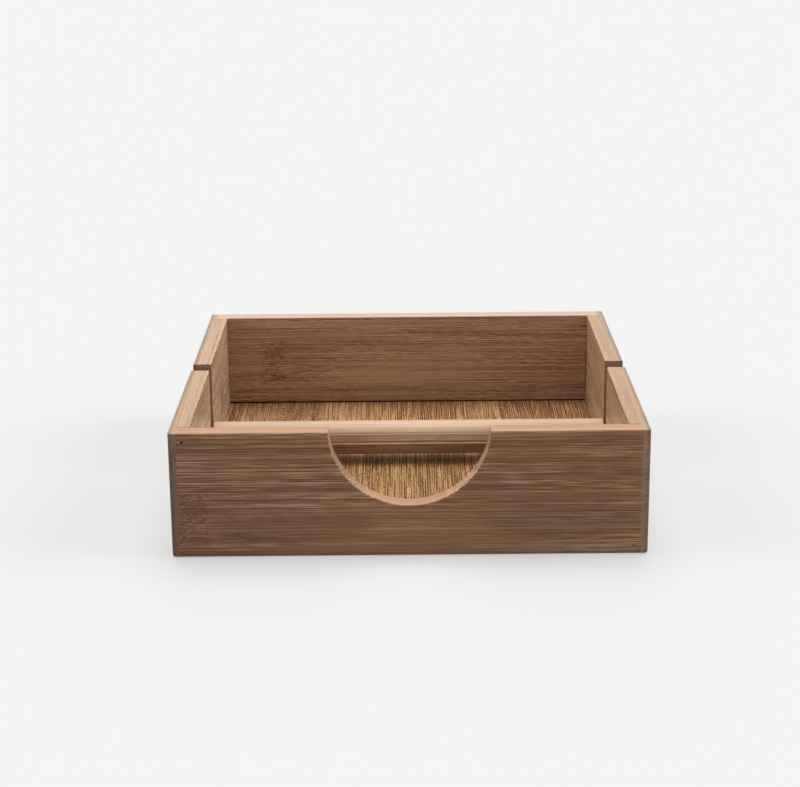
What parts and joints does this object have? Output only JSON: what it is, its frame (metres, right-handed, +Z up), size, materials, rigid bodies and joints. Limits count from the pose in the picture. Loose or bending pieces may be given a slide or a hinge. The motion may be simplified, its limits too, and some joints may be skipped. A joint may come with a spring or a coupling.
{
  "type": "napkin holder",
  "caption": "Square open bamboo tray for flat napkins, with a half-round finger notch in front and a hold-down bar that slides up and down in slots in the side walls.",
  "frame": {"origin": "middle of the underside", "axes": "+X to the right, +Y to the back (the notched panel faces -Y), +Z up"},
  "size_m": [0.19, 0.19, 0.052],
  "materials": {
    "front_bamboo": "oiled, satin, grain left to right",
    "back_bamboo": "oiled, satin, grain left to right",
    "side_bamboo": "oiled, satin, grain front to back",
    "floor_bamboo": "oiled, satin, strong dark fibres front to back",
    "rail_bamboo": "oiled, satin, grain left to right",
    "cap_bamboo": "oiled, satin, grain left to right",
    "brad_steel": "plain, slightly darkened"
  },
  "bodies": {
    "tray": {"front_panel": "front_bamboo", "back_panel": "back_bamboo", "left_side_panel": "side_bamboo", "right_side_panel": "side_bamboo", "floor_panel": "floor_bamboo", "front_left_brads": "brad_steel", "front_right_brads": "brad_steel", "back_left_brads": "brad_steel", "back_right_brads": "brad_steel"},
    "bar": {"bar_rail": "rail_bamboo", "bar_cap": "cap_bamboo"}
  },
  "joints": [
    {"name": "bar_lift", "type": "slide", "parent": "tray", "child": "bar", "axis": [0, 0, 1], "range_m": [0, 0.039]}
  ]
}
